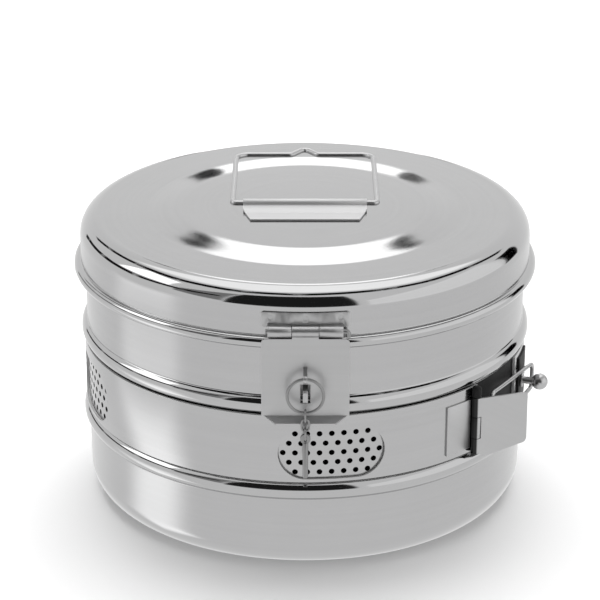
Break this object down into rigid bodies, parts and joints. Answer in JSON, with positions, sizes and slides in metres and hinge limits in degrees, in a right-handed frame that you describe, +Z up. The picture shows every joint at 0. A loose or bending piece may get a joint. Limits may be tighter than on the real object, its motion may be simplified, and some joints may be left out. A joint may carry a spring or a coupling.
{
  "type": "sterilization drum",
  "caption": "Round stainless steel sterilizing drum with a hinged telescoping lid, folding wire handle, hasp with locking pin, and a turning shutter band over fields of steam holes.",
  "frame": {"origin": "centre of the drum's base, on the drum's axis, at the level it rests on", "axes": "+Z up along the drum's axis, -Y towards the hasp at the front, +Y towards the rear hinge, +X to the right seen from the front"},
  "size_m": [0.2582, 0.269, 0.1649],
  "materials": {
    "drum_steel": "smooth polished stainless steel sheet",
    "bright_steel": "bright polished stainless steel fittings",
    "wire_steel": "bright drawn stainless steel wire and rod"
  },
  "bodies": {
    "drum": {"drum_shell": "drum_steel", "hasp_staple": "bright_steel", "rear_hinge_lower_leaf": "bright_steel", "rear_hinge_pin": "bright_steel"},
    "lid": {"lid_shell": "drum_steel", "handle_bracket": "bright_steel", "hasp_hinge_leaf": "bright_steel", "rear_hinge_upper_leaf": "bright_steel"},
    "handle": {"lid_handle": "wire_steel"},
    "hasp": {"hasp_plate": "bright_steel", "hasp_pin": "bright_steel", "hasp_ring_lug": "bright_steel"},
    "ring": {"split_ring": "wire_steel"},
    "chain": {"chain_links": "wire_steel"},
    "locking_pin": {"lock_pin": "wire_steel"},
    "shutter": {"shutter_band": "drum_steel", "clamp_hinge_leaf": "bright_steel", "clamp_hinge_pin": "wire_steel", "keeper_pad": "bright_steel", "keeper_stud": "wire_steel"},
    "lever": {"clamp_lever": "bright_steel"},
    "loop": {"draw_loop": "wire_steel"}
  },
  "joints": [
    {"name": "lid_hinge", "type": "hinge", "parent": "drum", "child": "lid", "pos_m": [0, 0.1294, 0.127], "axis": [-1, 0, 0], "range_deg": [0, 105]},
    {"name": "handle_pivot", "type": "hinge", "parent": "lid", "child": "handle", "pos_m": [0, -0.0045, 0.1625], "axis": [1, 0, 0], "range_deg": [0, 180]},
    {"name": "hasp_hinge", "type": "hinge", "parent": "lid", "child": "hasp", "pos_m": [0, -0.1258, 0.138], "axis": [-1, 0, 0], "range_deg": [0, 150]},
    {"name": "ring_swing", "type": "hinge", "parent": "hasp", "child": "ring", "pos_m": [0, -0.1342, 0.11555], "axis": [1, 0, 0], "range_deg": [-120, 0]},
    {"name": "chain_swing", "type": "hinge", "parent": "ring", "child": "chain", "pos_m": [0, -0.1342, 0.09705], "axis": [1, 0, 0], "range_deg": [-45, 0]},
    {"name": "lock_pin_swing", "type": "hinge", "parent": "chain", "child": "locking_pin", "pos_m": [0, -0.1342, 0.08395], "axis": [1, 0, 0], "range_deg": [-30, 0]},
    {"name": "shutter_turn", "type": "hinge", "parent": "drum", "child": "shutter", "pos_m": [0, 0, 0.07055], "axis": [0, 0, 1], "range_deg": [-30, 30]},
    {"name": "lever_swing", "type": "hinge", "parent": "shutter", "child": "lever", "pos_m": [0.08983, -0.08584, 0.064], "axis": [0, 0, -1], "range_deg": [0, 140]},
    {"name": "loop_swing", "type": "hinge", "parent": "lever", "child": "loop", "pos_m": [0.09831, -0.07883, 0.071], "axis": [0, 0, 1], "range_deg": [-24, 0]}
  ]
}
